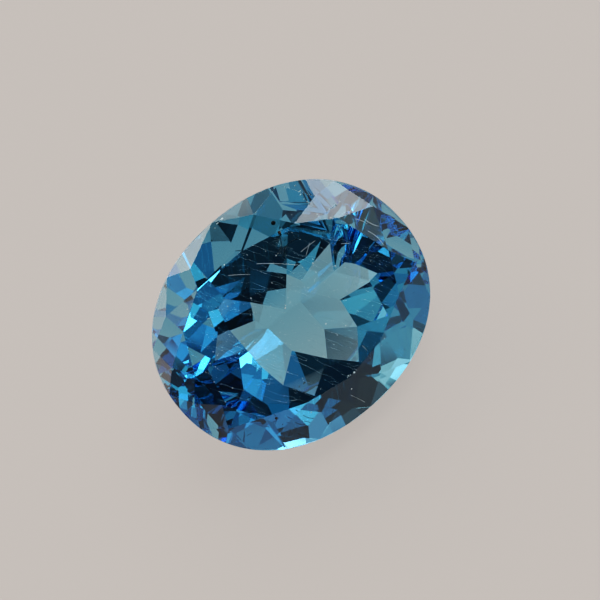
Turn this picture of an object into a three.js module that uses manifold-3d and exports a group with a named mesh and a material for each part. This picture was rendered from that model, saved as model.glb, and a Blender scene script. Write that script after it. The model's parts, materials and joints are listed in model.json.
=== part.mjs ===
// An oval mixed-cut blue topaz of 12 by 10 mm, one solid crystal with a large table, thirteen
// crown kites, a keel instead of a point below, and free-hand pavilion facets of uneven size.
// It lies on the broad facet beside its keel, as a loose stone does, with the table turned up
// and towards -Y. Millimetres, +Z up, X along the stone's length, origin under the middle of
// its box on the surface that it rests on.
import * as THREE from 'three';
import { mergeVertices } from 'three/addons/utils/BufferGeometryUtils.js';
import Module from 'manifold-3d';

const wasm = await Module();
wasm.setup();

// The girdle outline seen square on, a superellipse a little fuller than a true ellipse
const LENGTH = 12;
const WIDTH = 10;
const OUTLINE_POWER = 2.15;
const OUTLINE_STEP = 2;
const GIRDLE_THICKNESS = 0.3;

// Heights above the middle of the girdle, and the depth of the rough below it
const TABLE_HEIGHT = 1.35;
const PREFORM_DEPTH = 4.8;
const STAR_DROP = 0.48;

// Edges shorter than this are below what the polish can show, and close up
const FINEST_EDGE = 0.02;

// Corners of the table, x and y, and the direction in degrees of the kite facet at each corner.
// All directions are whole outline steps, so each facet meets the girdle at one of its points.
const TABLE_CORNERS = [
  [4.05, 1.75, 40],
  [2.55, 2.75, 66],
  [0.1, 3.3, 90],
  [-2.2, 3.3, 112],
  [-3.8, 2.35, 146],
  [-4.6, 0.7, 172],
  [-4.55, -0.95, 192],
  [-3.6, -2.45, 222],
  [-1.85, -3.15, 252],
  [0.15, -3.5, 270],
  [2.05, -3.2, 288],
  [3.9, -2.25, 318],
  [4.75, -0.6, 356],
];

// The keel runs along the stone, a little off its centre line. Its points, x and z, from -X
const KEEL_Y = 0.2;
const keelPoint = (x, z) => [x, KEEL_Y, z];
const KEEL_START = keelPoint(-2.7, -3.96);
const KEEL_LEFT = keelPoint(-2.35, -4.1);
const KEEL_REST = keelPoint(-1.1, -4.39);
const KEEL_NOTCH = keelPoint(-0.05, -4.51);
const KEEL_MIDDLE = keelPoint(0.65, -4.45);
const KEEL_RIGHT = keelPoint(1.15, -4.35);
const KEEL_STEP = keelPoint(2.2, -3.92);
const KEEL_TURN = keelPoint(2.5, -3.79);
const KEEL_END = keelPoint(3.1, -3.4);

// The outer row of pavilion facets: direction in degrees, then the x and y of the point at
// which the facet meets the rows inside it. Each one rises from there to touch the girdle.
const OUTER_ROW = [
  [266, -0.05, -2.35],
  [288, 1.75, -2.15],
  [312, 3.35, -1.1],
  [340, 4.15, -1.25],
  [354, 4.8, 0.1],
  [38, 4.25, 1.3],
  [60, 3, 1.8],
  [80, -0.05, 2.55],
  [96, -0.5, 2.45],
  [106, -1.65, 2.35],
  [124, -2.4, 2.65],
  [146, -3.6, 1.55],
  [170, -4.35, 0.6],
  [194, -4.35, -0.6],
  [214, -4, -1.6],
  [230, -3.5, -1.05],
  [248, -2.15, -2],
];

const HALF_GIRDLE = GIRDLE_THICKNESS / 2;
const INSIDE = new THREE.Vector3(0, 0, -0.5);
const UP = new THREE.Vector3(0, 0, 1);

// Half-width of the outline towards an angle in radians, to the edge that lies square to it
function reach(angle) {
  const power = OUTLINE_POWER / (OUTLINE_POWER - 1);
  const alongX = (LENGTH / 2) * Math.abs(Math.cos(angle));
  const alongY = (WIDTH / 2) * Math.abs(Math.sin(angle));
  return (alongX ** power + alongY ** power) ** (1 / power);
}

// Point of the outline where the edge lies square to the angle
function edgeFacing(angle) {
  const power = 1 / (OUTLINE_POWER - 1);
  const share = (half, part) => Math.sign(part) * half * ((half * Math.abs(part)) / reach(angle)) ** power;
  return new THREE.Vector2(share(LENGTH / 2, Math.cos(angle)), share(WIDTH / 2, Math.sin(angle)));
}

function closedSolid(geometry) {
  const bare = geometry.clone();
  bare.deleteAttribute('normal');
  bare.deleteAttribute('uv');
  const merged = mergeVertices(bare);
  const vertProperties = new Float32Array(merged.attributes.position.array);
  const triVerts = new Uint32Array(merged.index.array);
  return new wasm.Manifold(new wasm.Mesh({ numProp: 3, vertProperties, triVerts }));
}

// The preform: a prism of the girdle outline from below the keel up to the table
function preform() {
  const points = [];
  for (let degrees = 0; degrees < 360; degrees += OUTLINE_STEP) {
    points.push(edgeFacing(THREE.MathUtils.degToRad(degrees)));
  }
  const depth = PREFORM_DEPTH + TABLE_HEIGHT;
  const prism = new THREE.ExtrudeGeometry(new THREE.Shape(points), { depth, bevelEnabled: false });
  prism.translate(0, 0, -PREFORM_DEPTH);
  return closedSolid(prism);
}

// One flat: everything on the outer side of the plane is ground away
function grind(stone, plane) {
  const reachOfLap = 3 * LENGTH;
  const lap = new THREE.BoxGeometry(reachOfLap, reachOfLap, LENGTH);
  lap.translate(0, 0, LENGTH / 2);
  lap.applyQuaternion(new THREE.Quaternion().setFromUnitVectors(UP, plane.normal));
  const contact = plane.coplanarPoint(new THREE.Vector3());
  lap.translate(contact.x, contact.y, contact.z);
  return stone.subtract(closedSolid(lap));
}

function planeThrough(first, second, third) {
  const plane = new THREE.Plane().setFromCoplanarPoints(first, second, third);
  return plane.distanceToPoint(INSIDE) > 0 ? plane.negate() : plane;
}

// A facet that faces the angle and touches the girdle edge at height, and slopes so that it
// also passes through a point: sign is 1 on the crown and -1 on the pavilion
function girdleFacet(angle, height, sign, point) {
  const run = reach(angle) - point.x * Math.cos(angle) - point.y * Math.sin(angle);
  const slope = Math.atan2(sign * (point.z - height), run);
  const outward = Math.sin(slope);
  const normal = new THREE.Vector3(
    outward * Math.cos(angle),
    outward * Math.sin(angle),
    sign * Math.cos(slope),
  );
  return new THREE.Plane().setFromNormalAndCoplanarPoint(normal, point);
}

// Crown: a kite from each table corner down to the girdle, a star between each two kites, and
// two narrow facets below each star
function crownFacets() {
  const corners = TABLE_CORNERS.map(([x, y]) => new THREE.Vector3(x, y, TABLE_HEIGHT));
  const angles = TABLE_CORNERS.map(([, , degrees]) => THREE.MathUtils.degToRad(degrees));
  const kites = corners.map((corner, i) => girdleFacet(angles[i], HALF_GIRDLE, 1, corner));
  const stars = [];
  const girdleFacets = [];
  const starHeight = TABLE_HEIGHT - STAR_DROP * (TABLE_HEIGHT - HALF_GIRDLE);
  kites.forEach((kite, i) => {
    const next = (i + 1) % kites.length;
    const apex = meetAtHeight(kite, kites[next], starHeight);
    stars.push(planeThrough(corners[i], corners[next], apex));
    const middle = onGirdleTop(stepBetween(i, next));
    girdleFacets.push(planeThrough(apex, onGirdleTop(TABLE_CORNERS[i][2]), middle));
    girdleFacets.push(planeThrough(apex, onGirdleTop(TABLE_CORNERS[next][2]), middle));
  });
  return [...kites, ...stars, ...girdleFacets];
}

// Where two planes cross at a height
function meetAtHeight(first, second, height) {
  const a = first.normal;
  const b = second.normal;
  const c = -first.constant - a.z * height;
  const d = -second.constant - b.z * height;
  const area = a.x * b.y - a.y * b.x;
  return new THREE.Vector3((c * b.y - a.y * d) / area, (a.x * d - c * b.x) / area, height);
}

function onGirdleTop(degrees) {
  const { x, y } = edgeFacing(THREE.MathUtils.degToRad(degrees));
  return new THREE.Vector3(x, y, HALF_GIRDLE);
}

// The outline step nearest to half-way between two neighbouring kites
function stepBetween(kite, next) {
  const start = TABLE_CORNERS[kite][2];
  const turn = (TABLE_CORNERS[next][2] - start + 360) % 360;
  return start + OUTLINE_STEP * Math.round(turn / 2 / OUTLINE_STEP);
}

// Pavilion: each facet passes through three points. A point of three numbers gives its own
// height, and a point of two lies on the facets that are already cut, so that facets meet.
function pavilionFacets() {
  const cuts = [];
  const onStone = ([x, y, z]) => new THREE.Vector3(x, y, z ?? heightAt(cuts, x, y));
  const cut = (...points) => {
    const plane = planeThrough(...points.map(onStone));
    cuts.push(plane);
    return plane;
  };

  // The shallow facets along the near side of the keel, the first two in the middle
  cut(KEEL_MIDDLE, KEEL_RIGHT, [0.65, -1.35, -3.41]);
  const resting = cut(KEEL_MIDDLE, [0.65, -1.35], KEEL_REST);
  cut(KEEL_REST, [-0.95, -1.15], KEEL_LEFT);
  cut(KEEL_LEFT, [-2.35, -0.8], KEEL_START);
  cut(KEEL_RIGHT, [1.95, -0.85], KEEL_TURN);
  cut(KEEL_TURN, [3.4, -1.1], KEEL_END);

  // The shallow facets along its far side
  cut(KEEL_NOTCH, KEEL_RIGHT, [0.95, 1.4, -3.58]);
  cut(KEEL_REST, KEEL_NOTCH, [-0.95, 1.5, -3.47]);
  cut(KEEL_REST, [-1.3, 0.8], KEEL_LEFT);
  cut(KEEL_LEFT, [-2.35, 1.15], KEEL_START);
  cut(KEEL_RIGHT, [1.25, 0.8], KEEL_STEP);
  cut(KEEL_STEP, [2.15, 1.05], KEEL_TURN);
  cut(KEEL_TURN, [3.15, 1.2], KEEL_END);

  // Second row, near side
  cut([-2.35, -0.8], [-3.5, -1.05], [-2.15, -2]);
  cut([-0.95, -1.15], [-2.15, -2], [-0.05, -2.35]);
  cut([0.65, -1.35], [-0.05, -2.35], [1.75, -2.15]);
  cut([1.95, -0.85], [1.75, -2.15], [3.4, -1.1]);

  // Second row, far side
  cut([-1.3, 0.8], [-2.35, 1.15], [-0.95, 1.5]);
  cut([-0.05, 0.35], [-0.95, 1.5], [0.95, 1.4]);
  cut([1.25, 0.8], [0.95, 1.4], [2.15, 1.05]);
  cut([2.15, 1.05], [3.15, 1.2], [2, 2.15, -2.73]);

  // The two ends, and two fill-in facets on the far side
  cut(KEEL_END, [4.25, -1.15], [4.1, 1.2]);
  cut(KEEL_START, [-3.5, -1.05], [-3.15, 0.4]);
  cut([-2.35, 1.3], [-3.6, 1.5], [-2.05, 2.45]);
  cut([-0.95, 1.5], [-1.6, 2.1, -2.89], [-0.05, 2.55]);

  const inner = [...cuts];
  for (const [degrees, x, y] of OUTER_ROW) {
    const meet = new THREE.Vector3(x, y, heightAt(inner, x, y));
    cuts.push(girdleFacet(THREE.MathUtils.degToRad(degrees), -HALF_GIRDLE, -1, meet));
  }
  return { cuts, resting };
}

// Height of the pavilion, as far as it is cut, above a point
function heightAt(planes, x, y) {
  const height = ({ normal, constant }) => -(constant + normal.x * x + normal.y * y) / normal.z;
  return Math.max(...planes.map(height));
}

// The cut solid as a geometry, with edges too short to see closed up
function polished(solid) {
  const { vertProperties, triVerts } = solid.getMesh();
  const corners = [];
  const cornerOf = [];
  for (let i = 0; i < vertProperties.length; i += 3) {
    const point = new THREE.Vector3().fromArray(vertProperties, i);
    const known = corners.findIndex((corner) => corner.distanceTo(point) < FINEST_EDGE);
    cornerOf.push(known < 0 ? corners.push(point) - 1 : known);
  }
  const kept = [];
  for (let i = 0; i < triVerts.length; i += 3) {
    const [a, b, c] = Array.from(triVerts.slice(i, i + 3), (vertex) => cornerOf[vertex]);
    if (a !== b && b !== c && c !== a) kept.push(a, b, c);
  }
  const stone = new THREE.BufferGeometry().setFromPoints(corners);
  stone.setIndex(kept);
  return stone;
}

// Turns the stone on to its resting facet, with its length along X
function restingTurn(facet) {
  const up = facet.normal.clone().negate();
  const along = new THREE.Vector3(1, 0, 0).projectOnPlane(up).normalize();
  const across = new THREE.Vector3().crossVectors(up, along);
  return new THREE.Matrix4().makeBasis(along, across, up).transpose();
}

function topaz() {
  const { cuts, resting } = pavilionFacets();
  const stone = polished([...cuts, ...crownFacets()].reduce(grind, preform()));
  stone.applyMatrix4(restingTurn(resting));
  stone.computeBoundingBox();
  const middle = stone.boundingBox.getCenter(new THREE.Vector3());
  stone.translate(-middle.x, -middle.y, -stone.boundingBox.min.z);
  stone.computeVertexNormals();

  const crystal = new THREE.MeshStandardMaterial({ color: '#2f7f9c', roughness: 0.05, metalness: 0 });
  const mesh = new THREE.Mesh(stone, crystal);
  mesh.name = 'topaz';
  return mesh;
}

const part = new THREE.Group();
part.add(topaz());

export default part;
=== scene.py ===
# A loose oval blue topaz that lies table side up on a pale lit pad, seen square to its table.
import json
from math import cos, pi, radians, sin, sqrt, tan
from random import Random

import bmesh
import bpy
from mathutils import Euler, Matrix, Vector


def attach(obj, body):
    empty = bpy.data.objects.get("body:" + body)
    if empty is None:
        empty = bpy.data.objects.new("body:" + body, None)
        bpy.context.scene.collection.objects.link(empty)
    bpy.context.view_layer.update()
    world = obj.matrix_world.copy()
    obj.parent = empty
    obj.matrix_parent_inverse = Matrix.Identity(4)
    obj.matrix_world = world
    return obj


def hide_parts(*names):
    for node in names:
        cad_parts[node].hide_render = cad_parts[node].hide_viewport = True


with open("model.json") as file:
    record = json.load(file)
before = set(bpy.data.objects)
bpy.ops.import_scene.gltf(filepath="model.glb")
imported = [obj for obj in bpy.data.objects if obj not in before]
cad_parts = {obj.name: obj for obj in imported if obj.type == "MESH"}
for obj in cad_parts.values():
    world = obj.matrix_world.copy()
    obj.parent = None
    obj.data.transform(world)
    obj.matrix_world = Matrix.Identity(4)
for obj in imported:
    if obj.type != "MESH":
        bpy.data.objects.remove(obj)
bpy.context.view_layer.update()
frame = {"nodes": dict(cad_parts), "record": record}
bpy.ops.object.select_all(action="DESELECT")
MM = 0.001

# The view. The stone is looked at square to its table, from far enough to stand without
# perspective, and its length climbs to the right. The flat of the table gives the stone's own
# directions: along its length, across its width and out of its face.
table_mount = next(m for m in frame["record"]["mounts"] if m["name"] == "table")
OUT = Vector(table_mount["axis"]).normalized()
ALONG = Vector((OUT.z, 0, -OUT.x)).normalized()
ACROSS = OUT.cross(ALONG)
TABLE_ABOVE_GIRDLE = 1.35 * MM
PHOTO_WIDTH = 600
PIXELS_PER_MM = 24.3
STONE_MIDDLE_PIXEL = (291.1, 314.8)
LENGTH_CLIMBS = radians(40.7)
LENS = 400
SENSOR = 36
NEAREST_SEEN = 10 * MM
FARTHEST_SEEN = 10


def middle_of_girdle():
    corners = [v.co for v in frame["nodes"]["topaz"].data.vertices]
    spans = [[corner.dot(axis) for corner in corners] for axis in (ALONG, ACROSS)]
    along, across = [(min(span) + max(span)) / 2 for span in spans]
    out = Vector(table_mount["pos_m"]).dot(OUT) - TABLE_ABOVE_GIRDLE
    return ALONG * along + ACROSS * across + OUT * out


MIDDLE = middle_of_girdle()
picture_right = ALONG * cos(LENGTH_CLIMBS) - ACROSS * sin(LENGTH_CLIMBS)
picture_up = ALONG * sin(LENGTH_CLIMBS) + ACROSS * cos(LENGTH_CLIMBS)
pixels_right = PHOTO_WIDTH / 2 - STONE_MIDDLE_PIXEL[0]
pixels_up = STONE_MIDDLE_PIXEL[1] - PHOTO_WIDTH / 2
aim = MIDDLE + (picture_right * pixels_right + picture_up * pixels_up) / PIXELS_PER_MM * MM
picture_width = PHOTO_WIDTH / PIXELS_PER_MM * MM

loupe_data = bpy.data.cameras.new("loupe")
loupe_data.lens = LENS
loupe_data.sensor_width = SENSOR
loupe_data.clip_start = NEAREST_SEEN
loupe_data.clip_end = FARTHEST_SEEN
loupe = bpy.data.objects.new("loupe", loupe_data)
loupe_place = Matrix.Translation(aim + OUT * picture_width * LENS / SENSOR)
loupe.matrix_world = loupe_place @ Matrix((picture_right, picture_up, OUT)).transposed().to_4x4()
bpy.context.scene.collection.objects.link(loupe)
bpy.context.scene.camera = loupe


# The cut stone. It is one crystal of blue topaz, sawn, ground and polished into flat facets by
# hand. Its solid is copied, the triangles of each facet are joined into one flat face, and the
# edges of the crown are worn by a hair's breadth.
SAME_POINT = 0.002 * MM
FLAT_WITHIN = radians(0.4)
CROWN_FACES_OUT = 0.3
EDGE_WEAR = 0.009 * MM


def linear(hex_colour):
    parts = [int(hex_colour[i:i + 2], 16) / 255 for i in (1, 3, 5)]
    return [p / 12.92 if p <= 0.04045 else ((p + 0.055) / 1.055) ** 2.4 for p in parts] + [1]


def add(tree, kind, settings=None, links=None, **values):
    node = tree.nodes.new(kind)
    for name, value in values.items():
        setattr(node, name, value)
    for socket, value in (settings or {}).items():
        node.inputs[socket].default_value = value
    for socket, source in (links or {}).items():
        tree.links.new(source, node.inputs[socket])
    return node


def new_material(name):
    material = bpy.data.materials.new(name)
    material.use_nodes = True
    material.node_tree.nodes.clear()
    return material


# Blue topaz, polished on a lap. It bends light by 1.62, and its body takes red and then green
# out of the light, so short ways through it are pale and long ways are deep blue. The density
# says how fast, per metre. The lap leaves fine lines on the table, drawn wider apart and deeper
# than real ones so that they show, and the girdle is left finely ground, like frosted glass.
CLEAR = "#ffffff"
TOPAZ_IOR = 1.62
BODY_COLOUR = "#44d3ed"
BODY_DENSITY = 225
LINE_LENGTH = 3 * MM
LINE_SPACING = 0.5 * MM
LINE_UNEVENNESS = 3
NOISE_MIDDLE = 0.5
LINE_TURN = radians(-62)
LINE_WIDTH = 0.015
LINE_DEPTH = 0.0015 * MM
HAIR = 0.01 * MM
GIRDLE_HALF_THICKNESS = 0.14 * MM
GROUND_ROUGHNESS = 0.3


def polished_topaz():
    material = new_material("polished_topaz")
    tree = material.node_tree
    own_axes = Matrix((ALONG, ACROSS, OUT)).transposed() @ Matrix.Rotation(LINE_TURN, 3, "Z")
    place = add(tree, "ShaderNodeTexCoord").outputs["Object"]
    table_place = add(tree, "ShaderNodeMapping", {
        "Location": MIDDLE + OUT * TABLE_ABOVE_GIRDLE, "Rotation": own_axes.to_euler(),
        "Scale": (LINE_LENGTH, LINE_SPACING, 1)}, {"Vector": place}, vector_type="TEXTURE")
    height = add(tree, "ShaderNodeSeparateXYZ", links={0: table_place.outputs[0]}).outputs["Z"]
    streaks = add(tree, "ShaderNodeTexNoise", {"Scale": 1, "Detail": LINE_UNEVENNESS},
                  {"Vector": table_place.outputs[0]})
    line = add(tree, "ShaderNodeMath", {1: NOISE_MIDDLE, 2: LINE_WIDTH}, {0: streaks.outputs["Fac"]},
               operation="COMPARE")
    on_table = add(tree, "ShaderNodeMath", {1: -HAIR}, {0: height}, operation="GREATER_THAN")
    groove = add(tree, "ShaderNodeMath", links={0: line.outputs[0], 1: on_table.outputs[0]},
                 operation="MULTIPLY")
    relief = add(tree, "ShaderNodeBump", {"Strength": 1, "Distance": LINE_DEPTH},
                 {"Height": groove.outputs[0]}, invert=True)
    on_girdle = add(tree, "ShaderNodeMath", {1: -TABLE_ABOVE_GIRDLE, 2: GIRDLE_HALF_THICKNESS},
                    {0: height}, operation="COMPARE")
    ground = add(tree, "ShaderNodeMath", {1: GROUND_ROUGHNESS}, {0: on_girdle.outputs[0]},
                 operation="MULTIPLY")
    surface = add(tree, "ShaderNodeBsdfPrincipled", {
        "Base Color": linear(CLEAR), "IOR": TOPAZ_IOR, "Transmission Weight": 1},
        {"Normal": relief.outputs[0], "Roughness": ground.outputs[0]})
    body = add(tree, "ShaderNodeVolumeAbsorption", {
        "Color": linear(BODY_COLOUR), "Density": BODY_DENSITY})
    add(tree, "ShaderNodeOutputMaterial", links={
        "Surface": surface.outputs[0], "Volume": body.outputs[0]})
    return material


def carried(piece):
    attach(piece, "root")


stone = bpy.data.objects.new("cut_stone", frame["nodes"]["topaz"].data.copy())
bpy.context.scene.collection.objects.link(stone)
bpy.context.view_layer.objects.active = stone
stone.select_set(True)
bpy.ops.object.mode_set(mode="EDIT")
bpy.ops.mesh.select_all(action="SELECT")
bpy.ops.mesh.remove_doubles(threshold=SAME_POINT)
bpy.ops.mesh.dissolve_limited(angle_limit=FLAT_WITHIN)
bpy.ops.mesh.select_all(action="DESELECT")
bpy.ops.mesh.select_mode(type="EDGE")
worn = bmesh.from_edit_mesh(stone.data)
for edge in worn.edges:
    edge.select_set(all(face.normal.dot(OUT) > CROWN_FACES_OUT for face in edge.link_faces))
bmesh.update_edit_mesh(stone.data)
bpy.ops.mesh.bevel(offset=EDGE_WEAR, segments=1, affect="EDGES", clamp_overlap=True)
bpy.ops.object.mode_set(mode="OBJECT")
bpy.ops.object.shade_flat()
stone.select_set(False)
stone.data.materials.clear()
stone.data.materials.append(polished_topaz())
carried(stone)
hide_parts("topaz")


# Scratches. The table and crown have been drawn across harder grit, which leaves short furrows.
# Each is a fine thread laid along the facets between two places, in millimetres along and
# across the stone from its middle, and bowed aside by a share of its length.
ABOVE_STONE = 5 * MM
SCRATCH_WIDTH = 0.018 * MM
SCRATCHES = [
    ((1.99, 1.69), (2.73, 1.66), 0.02),
    ((2.05, 1.45), (2.5, 1.75), -0.03),
    ((3.46, 0.87), (3.71, 0.66), 0.01),
    ((1.38, -2.85), (1.29, -3.48), 0.14),
    ((-0.29, -4.1), (-0.04, -4.7), 0.02),
    ((4.56, 1.27), (4.78, 0.82), 0.08),
    ((4.85, 1.0), (5.1, 0.4), -0.1),
    ((4.62, 0.55), (4.73, -0.3), 0.12),
    ((4.3, 1.75), (4.75, 1.6), 0.05),
    ((-0.9, 2.9), (-0.2, 2.35), 0.02),
    ((0.3, 2.5), (1.5, 1.4), 0.03),
]


def on_stone(along, across):
    above = MIDDLE + (ALONG * along + ACROSS * across) * MM + OUT * ABOVE_STONE
    return stone.ray_cast(above, -OUT)[1]


def plain_surface(name, settings):
    material = new_material(name)
    surface = add(material.node_tree, "ShaderNodeBsdfPrincipled", settings)
    add(material.node_tree, "ShaderNodeOutputMaterial", links={"Surface": surface.outputs[0]})
    return material


def laid_line(start, end, bow, width, material, sunk=0):
    bpy.ops.curve.primitive_nurbs_path_add(location=(0, 0, 0))
    line = bpy.context.object
    run = Vector(end) - Vector(start)
    points = line.data.splines[0].points
    for step, point in enumerate(points):
        share = step / (len(points) - 1)
        aside = bow * sin(pi * share)
        flat = Vector(start) + run * share + Vector((-run.y, run.x)) * aside
        point.co = (on_stone(*flat) - OUT * sunk).to_4d()
    line.data.bevel_depth = width / 2
    line.data.bevel_resolution = 0
    line.data.use_fill_caps = True
    line.data.materials.append(material)
    bpy.ops.object.convert(target="MESH")
    return line


def joined(parts, name):
    bpy.ops.object.select_all(action="DESELECT")
    for part in parts:
        part.select_set(True)
    bpy.context.view_layer.objects.active = parts[0]
    if len(parts) > 1:
        bpy.ops.object.join()
    piece = bpy.context.object
    piece.name = name
    carried(piece)
    bpy.ops.object.select_all(action="DESELECT")


bpy.context.view_layer.update()
# The crushed walls of a furrow scatter the light, so it shows as a thin white line.
furrow = plain_surface("frosted_furrow", {
    "Base Color": linear("#e6f2f6"), "Roughness": 0.6, "Alpha": 0.7})
joined([laid_line(*scratch, SCRATCH_WIDTH, furrow) for scratch in SCRATCHES], "scratches")


# Chips. Where facets meet at a sharp edge the crystal has flaked along its cleavage, in small
# pits on the table's edge, round one large facet and on the girdle. One grain is shaped, and
# copies of it are set along each chipped edge, from its start to its end.
CHIP_SIZE = 0.05 * MM
CHIP_FLATNESS = 0.4
CHIP_CRUSHING = 0.01 * MM
CHIPPED_EDGES = [
    ((3.41, 2.21), (3.96, 1.9), 7),
    ((0.02, -3.44), (0.6, -3.46), 6),
    ((3.57, 3.97), (3.46, 2.33), 9),
    ((3.46, 2.33), (4.6, 2.2), 8),
    ((-0.19, 4.71), (0.56, 4.88), 6),
]
STRAY = 0.04
SMALLEST_CHIP = 0.3
CHIP_SHAPE = 4
CHIP_SCATTER = 12


def rough_grain(size, flatness, crushing, seed, material):
    bpy.ops.mesh.primitive_ico_sphere_add(subdivisions=2, radius=size)
    grain = bpy.context.object
    bpy.ops.object.mode_set(mode="EDIT")
    bpy.ops.transform.vertex_random(offset=crushing, seed=seed)
    bpy.ops.transform.resize(value=(1, 1, flatness))
    bpy.ops.object.mode_set(mode="OBJECT")
    grain.data.materials.append(material)
    return grain


def copied(model, place, turn, size):
    copy = model.copy()
    copy.data = model.data.copy()
    copy.data.transform(Matrix.LocRotScale(place, turn, Vector((size, size, size))))
    bpy.context.scene.collection.objects.link(copy)
    return copy


def any_turn(chance):
    return Euler([chance.uniform(0, 2 * pi) for axis in range(3)])


# Crushed topaz is full of tiny cracks, so it is pale and no longer clear.
crushed = plain_surface("crushed_topaz", {
    "Base Color": linear("#b9ccd2"), "Roughness": 0.5, "IOR": TOPAZ_IOR})
chip = rough_grain(CHIP_SIZE, CHIP_FLATNESS, CHIP_CRUSHING, CHIP_SHAPE, crushed)
chance = Random(CHIP_SCATTER)
chips = []
for start, end, count in CHIPPED_EDGES:
    for number in range(count):
        spot = Vector(start).lerp(Vector(end), (number + chance.random()) / count)
        spot += Vector((chance.uniform(-STRAY, STRAY), chance.uniform(-STRAY, STRAY)))
        turn = any_turn(chance)
        chips.append(copied(chip, on_stone(*spot), turn, chance.uniform(SMALLEST_CHIP, 1)))
bpy.data.objects.remove(chip)
joined(chips, "edge_chips")


# Inclusions. Healed cracks inside the crystal show as bright curved feathers, and beside them
# two grains lie just under the surface: a small black one, and a mineral grain stained with rust
# that was trapped as the crystal grew. A grain has its place, its size and its colour.
FEATHERS = [((1.33, 1.99), (2.25, 2.18), 0.28), ((1.2, 2.25), (1.75, 2.75), -0.2)]
FEATHER_WIDTH = 0.035 * MM
FEATHER_SUNK = 0.25 * MM
GRAINS = {
    "dark_grain": ((1.9, 3.31), 0.1 * MM, "#16181a"),
    "rust_grain": ((1.83, 2.85), 0.07 * MM, "#a8623a"),
}
GRAIN_FLATNESS = 0.5
GRAIN_CRUSHING = 1 / 6
GRAIN_SHAPE = 2
GRAIN_SUNK = 0.12 * MM

feathers = [laid_line(*feather, FEATHER_WIDTH, furrow, FEATHER_SUNK) for feather in FEATHERS]
joined(feathers, "feathers")
lying_flat = OUT.to_track_quat("Z", "Y").to_matrix().to_4x4()
for name, (place, size, colour) in GRAINS.items():
    # The grains are opaque and nearly dull.
    grain_surface = plain_surface(name, {"Base Color": linear(colour), "Roughness": 0.5})
    grain = rough_grain(size, GRAIN_FLATNESS, size * GRAIN_CRUSHING, GRAIN_SHAPE, grain_surface)
    grain.data.transform(lying_flat)
    grain.data.transform(Matrix.Translation(on_stone(*place) - OUT * GRAIN_SUNK))
    joined([grain], name)


# Dust. Lint and grit from the cloth that the stone was wiped with lies loose on the crown, in
# specks a few hundredths of a millimetre across. They are strewn evenly over an oval.
DUST_COUNT = 34
DUST_SIZE = 0.03 * MM
DUST_FLATNESS = 0.7
DUST_CRUSHING = DUST_SIZE / 3
DUST_SHAPE = 7
SMALLEST_SPECK = 0.35
DUST_HALF_LENGTH = 4.9
DUST_HALF_WIDTH = 4

# Cotton lint is white and dull.
lint = plain_surface("cloth_lint", {"Base Color": linear("#dfe5e6"), "Roughness": 0.9})
speck = rough_grain(DUST_SIZE, DUST_FLATNESS, DUST_CRUSHING, DUST_SHAPE, lint)
specks = []
for number in range(DUST_COUNT):
    reach = sqrt(chance.random())
    way = chance.uniform(0, 2 * pi)
    spot = (DUST_HALF_LENGTH * reach * cos(way), DUST_HALF_WIDTH * reach * sin(way))
    turn = any_turn(chance)
    specks.append(copied(speck, on_stone(*spot), turn, chance.uniform(SMALLEST_SPECK, 1)))
bpy.data.objects.remove(speck)
joined(specks, "dust")


# The pad. It is a sheet of opal acrylic lit from below, the pale ground that gems are sorted
# on, and nearly all of its light is its own.
PAD_SIZE = 3
PAD_GLOW = 0.84

bpy.ops.mesh.primitive_plane_add(size=PAD_SIZE)
pad = bpy.context.object
pad.name = "pad"
# Opal acrylic is matt on top and glows evenly, so shadows on it are faint.
pad.data.materials.append(plain_surface("opal_acrylic", {
    "Base Color": linear("#413e3b"), "Roughness": 0.9,
    "Emission Color": linear("#c5beb9"), "Emission Strength": PAD_GLOW}))


# The light. The stone lies in a dim room and takes its flashes from the windows and the lit
# things round it. Each has the direction of its middle, in degrees clockwise from the back and
# up from the level, its width and height in degrees, its strength and its tint.
WARM = "#ffedda"
PALE = "#ffffff"
GREENISH = "#e7ffed"
BLUISH = "#cbe7ff"
WINDOWS = {
    "back_window": (10, 30, 85, 25, 4.2, WARM),
    "back_left_curtain": (-20, 25, 30, 35, 0.6, GREENISH),
    "back_right_window": (45, 15, 70, 15, 5.5, BLUISH),
    "left_window": (-50, 5, 60, 35, 2, WARM),
    "left_wall": (-55, 45, 35, 45, 1.4, WARM),
    "right_skylight": (75, 55, 35, 50, 4.5, PALE),
    "right_ceiling": (70, 45, 80, 30, 0.6, BLUISH),
    "right_lamp_shade": (105, 55, 35, 35, 1, GREENISH),
    "right_sill": (95, 20, 55, 10, 0.9, BLUISH),
    "right_wall": (100, 10, 70, 25, 0.3, BLUISH),
    "front_right_wall": (135, 45, 25, 30, 0.35, BLUISH),
    "front_left_wall": (-135, 10, 50, 60, 0.15, WARM),
    "front_left_curtain": (-125, 20, 35, 20, 0.65, WARM),
    "front_left_panel": (-135, 55, 10, 60, 0.3, WARM),
    "front_left_lamp": (-145, 55, 10, 25, 0.7, WARM),
}
BACK_OF_ROOM = 0.28
FRONT_OF_ROOM = 0.025
CEILING = 0.06
ROOM_LEVEL = 0.88
CEILING_STARTS = 0.7
BLUR = 0.03
WINDOW_EDGE_SHARPNESS = 20

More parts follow.
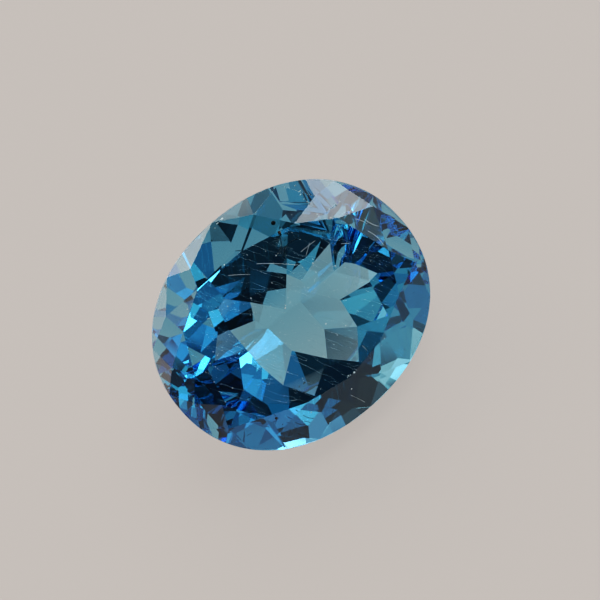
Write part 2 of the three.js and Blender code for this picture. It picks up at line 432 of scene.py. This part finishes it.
world = bpy.data.worlds.new("dim_room")
world.use_nodes = True
room = world.node_tree
room.nodes.clear()
direction = add(room, "ShaderNodeTexCoord").outputs["Generated"]
heading = add(room, "ShaderNodeSeparateXYZ", links={0: direction})
walls = add(room, "ShaderNodeMapRange", {
    "From Min": -BLUR, "From Max": BLUR, "To Min": FRONT_OF_ROOM, "To Max": BACK_OF_ROOM},
    {"Value": heading.outputs["Y"]})
dim = add(room, "ShaderNodeMapRange", {
    "From Min": CEILING_STARTS - BLUR, "From Max": CEILING_STARTS + BLUR, "To Max": CEILING},
    {"Value": heading.outputs["Z"], "To Min": walls.outputs[0]})
glow = add(room, "ShaderNodeCombineXYZ", links={axis: dim.outputs[0] for axis in range(3)})
for azimuth, elevation, width, height, strength, tint in WINDOWS.values():
    turned = add(room, "ShaderNodeMapping", {
        "Rotation": (radians(elevation), 0, radians(-azimuth)),
        "Scale": (tan(radians(width / 2)), 1, tan(radians(height / 2)))},
        {"Vector": direction}, vector_type="TEXTURE")
    offset = add(room, "ShaderNodeSeparateXYZ", links={0: turned.outputs[0]})
    sideways = add(room, "ShaderNodeMath", links={0: offset.outputs["X"]}, operation="ABSOLUTE")
    upwards = add(room, "ShaderNodeMath", links={0: offset.outputs["Z"]}, operation="ABSOLUTE")
    farther = add(room, "ShaderNodeMath", links={
        0: sideways.outputs[0], 1: upwards.outputs[0]}, operation="MAXIMUM")
    inside = add(room, "ShaderNodeMath", links={
        0: offset.outputs["Y"], 1: farther.outputs[0]}, operation="SUBTRACT")
    shape = add(room, "ShaderNodeMath", {1: WINDOW_EDGE_SHARPNESS}, {0: inside.outputs[0]},
                operation="MULTIPLY", use_clamp=True)
    glow = add(room, "ShaderNodeVectorMath", {1: Vector(linear(tint)[:3]) * strength}, {
        0: shape.outputs[0], 2: glow.outputs[0]}, operation="MULTIPLY_ADD")
sky = add(room, "ShaderNodeBackground", {"Strength": ROOM_LEVEL}, {"Color": glow.outputs[0]})
add(room, "ShaderNodeOutputWorld", links={"Surface": sky.outputs[0]})
bpy.context.scene.world = world

# Light crosses the stone many times before it leaves, so it may turn many times. Light that the
# stone focuses on the pad is left out, because it would show as coarse noise.
MOST_BOUNCES = 20
cycles = bpy.context.scene.cycles
cycles.max_bounces = MOST_BOUNCES
cycles.transmission_bounces = MOST_BOUNCES
cycles.glossy_bounces = MOST_BOUNCES
cycles.caustics_refractive = False
cycles.caustics_reflective = False

# A pocket camera deepens the shadows of its picture a little, and lifts its middle tones by less.
ALL_COLOURS = 3
TONE_CURVE = [(0.018, 0.008), (0.1, 0.078), (0.3, 0.31), (0.555, 0.555)]
picture = bpy.context.scene.view_settings
picture.view_transform = "Standard"
picture.use_curve_mapping = True
for level, shown in TONE_CURVE:
    picture.curve_mapping.curves[ALL_COLOURS].points.new(level, shown)
picture.curve_mapping.update()
